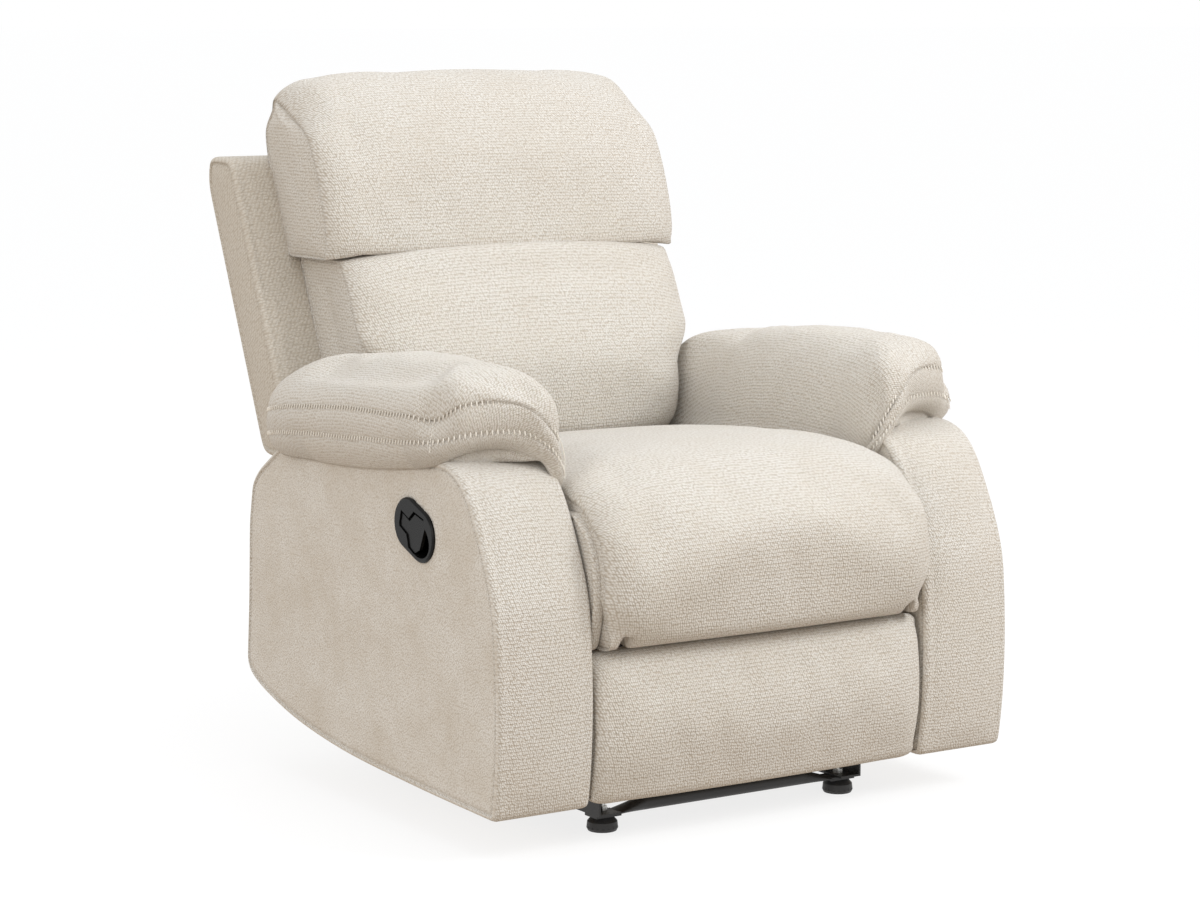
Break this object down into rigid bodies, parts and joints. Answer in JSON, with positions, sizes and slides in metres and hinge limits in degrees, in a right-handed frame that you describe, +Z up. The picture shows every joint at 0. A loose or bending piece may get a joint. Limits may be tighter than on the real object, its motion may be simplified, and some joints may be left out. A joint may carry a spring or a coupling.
{
  "type": "recliner armchair",
  "caption": "Manual recliner armchair with pillow arms, divided back cushions, an opening footrest and a flush pull handle in one arm.",
  "frame": {"origin": "on the floor, in the middle of the chair's width and depth", "axes": "+Z up, +Y towards the back, the sitter faces -Y, +X towards the sitter's left"},
  "size_m": [0.926, 1.013, 1.0269],
  "materials": {
    "chenille": "woven chenille upholstery",
    "frame_wood": "planed, unfinished",
    "zinc_steel": "zinc plated",
    "black_steel": "black semi-gloss paint",
    "handle_plastic": "black gloss moulding",
    "glide_plastic": "black moulded",
    "cable_sheath": "black sheath"
  },
  "bodies": {
    "base": {"base_rail_right": "black_steel", "base_rail_left": "black_steel", "base_brackets": "black_steel", "front_cross_tube": "black_steel", "rear_cross_tube": "black_steel", "foot_glides": "glide_plastic", "glide_bolts": "zinc_steel", "base_pivot_rivets": "zinc_steel"},
    "front_swing": {"front_swing_links": "black_steel"},
    "rear_swing": {"rear_swing_links": "black_steel"},
    "chassis": {"side_plate_right": "black_steel", "side_plate_left": "black_steel", "seat_side_rails": "frame_wood", "chassis_rivets": "zinc_steel", "frame_bolts": "zinc_steel", "arm_bolts": "zinc_steel", "seat_front_rail": "frame_wood", "seat_rear_rail": "frame_wood", "seat_springs": "zinc_steel", "seat_cushion": "chenille", "arm_cover_right": "chenille", "arm_cover_left": "chenille", "arm_pad_right": "chenille", "arm_pad_left": "chenille", "arm_inner_boards": "frame_wood", "arm_outer_boards": "frame_wood", "arm_top_rails": "frame_wood", "handle_bezel": "handle_plastic", "paddle_pin": "zinc_steel", "release_cable": "cable_sheath", "opening_springs": "zinc_steel"},
    "paddle": {"release_paddle": "handle_plastic"},
    "trip": {"trip_lever": "black_steel"},
    "back": {"back_panel": "chenille", "back_top_band": "chenille", "back_wing_right": "chenille", "back_wing_left": "chenille", "back_posts": "frame_wood", "back_brackets": "black_steel", "back_top_rail": "frame_wood", "back_bottom_rail": "frame_wood", "back_springs": "zinc_steel", "lumbar_cushion": "chenille", "head_pillow": "chenille"},
    "drive_links": {"drive_link_right": "black_steel", "drive_link_left": "black_steel", "drive_tube": "black_steel", "knee_rivets": "zinc_steel"},
    "front_links": {"front_links": "black_steel", "crossing_rivets": "zinc_steel"},
    "guide_links": {"guide_links": "black_steel", "guide_rivets": "zinc_steel"},
    "stay_links": {"stay_links": "black_steel"},
    "footrest": {"footrest_brackets": "black_steel", "footrest_rivets": "zinc_steel", "footrest_board": "frame_wood", "footrest_pad": "chenille"}
  },
  "joints": [
    {"name": "recline", "type": "hinge", "parent": "chassis", "child": "back", "pos_m": [0, 0.209, 0.38], "axis": [-1, 0, 0], "range_deg": [0, 34]},
    {"name": "front_swing", "type": "hinge", "parent": "base", "child": "front_swing", "pos_m": [0, -0.121, 0.112], "axis": [1, 0, 0], "range_deg": [0, 25.38]},
    {"name": "rear_swing", "type": "hinge", "parent": "base", "child": "rear_swing", "pos_m": [0, 0.1152, 0.0965], "axis": [1, 0, 0], "range_deg": [0, 28.79]},
    {"name": "chassis_level", "type": "hinge", "parent": "front_swing", "child": "chassis", "pos_m": [0, -0.094, 0.232], "axis": [-1, 0, 0], "range_deg": [0, 30.38]},
    {"name": "footrest_open", "type": "hinge", "parent": "chassis", "child": "drive_links", "pos_m": [0, -0.311, 0.3], "axis": [-1, 0, 0], "range_deg": [0, 103.35], "deforming": ["opening_springs"]},
    {"name": "front_link_fold", "type": "hinge", "parent": "drive_links", "child": "front_links", "pos_m": [0, -0.201, 0.115], "axis": [1, 0, 0], "range_deg": [0, 120]},
    {"name": "footrest_tilt", "type": "hinge", "parent": "front_links", "child": "footrest", "pos_m": [0, -0.359, 0.245], "axis": [-1, 0, 0], "range_deg": [0, 106.66]},
    {"name": "guide_swing", "type": "hinge", "parent": "chassis", "child": "guide_links", "pos_m": [0, -0.348, 0.325], "axis": [-1, 0, 0], "range_deg": [0, 102.44]},
    {"name": "stay_swing", "type": "hinge", "parent": "guide_links", "child": "stay_links", "pos_m": [0, -0.22011, 0.12191], "axis": [1, 0, 0], "range_deg": [0, 112.52]},
    {"name": "release_pull", "type": "hinge", "parent": "chassis", "child": "paddle", "pos_m": [-0.426, -0.251, 0.435], "axis": [0, 1, 0], "range_deg": [0, 28], "stiffness_Nm_per_rad": 0.4, "springref_deg": -17.19},
    {"name": "trip_swing", "type": "hinge", "parent": "chassis", "child": "trip", "pos_m": [0, -0.251, 0.3], "axis": [-1, 0, 0], "range_deg": [0, 6.02]}
  ],
  "couplings": [
    {"joint": "front_swing", "follows": "recline", "ratio": 0.7459},
    {"joint": "rear_swing", "follows": "recline", "ratio": 0.8461},
    {"joint": "chassis_level", "follows": "recline", "ratio": 0.893},
    {"joint": "front_link_fold", "follows": "footrest_open", "ratio": 1.161},
    {"joint": "footrest_tilt", "follows": "footrest_open", "ratio": 1.0318},
    {"joint": "guide_swing", "follows": "footrest_open", "ratio": 0.991},
    {"joint": "stay_swing", "follows": "footrest_open", "ratio": 1.0886},
    {"joint": "trip_swing", "follows": "release_pull", "ratio": 0.2143}
  ]
}
